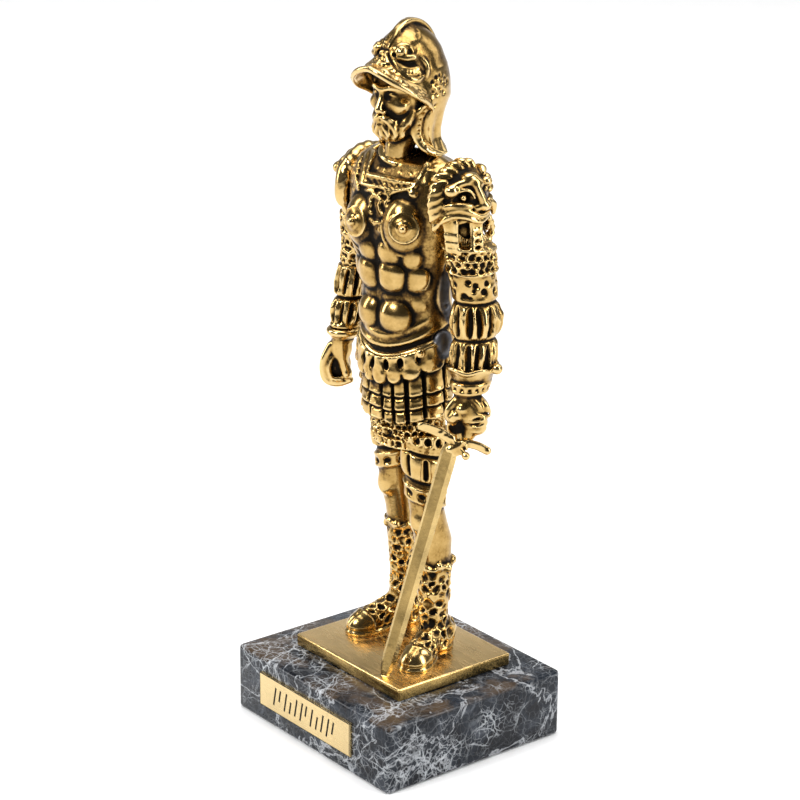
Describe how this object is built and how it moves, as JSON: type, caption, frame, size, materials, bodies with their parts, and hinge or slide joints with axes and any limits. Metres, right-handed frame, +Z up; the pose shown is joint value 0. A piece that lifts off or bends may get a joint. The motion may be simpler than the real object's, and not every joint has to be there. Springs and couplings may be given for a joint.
{
  "type": "medieval knight statue",
  "caption": "Small cast brass knight in parade armour, standing with a lowered sword on a square foot plate, fixed to a chamfered block of veined marble with a brass name plate.",
  "frame": {"origin": "centre of the marble block's underside", "axes": "+Z up, the knight and the name plate face -Y, +X to the knight's left, where its sword is"},
  "size_m": [0.041, 0.037, 0.12],
  "materials": {
    "marble": "polished dark blue-grey marble with white veins",
    "antique_brass": "polished brass with a dark antique patina in its hollows",
    "satin_brass": "light satin brass sheet with dark engraved strokes"
  },
  "bodies": {
    "root": {"marble_plinth": "marble", "knight_figure": "antique_brass", "name_plate": "satin_brass"}
  },
  "joints": []
}
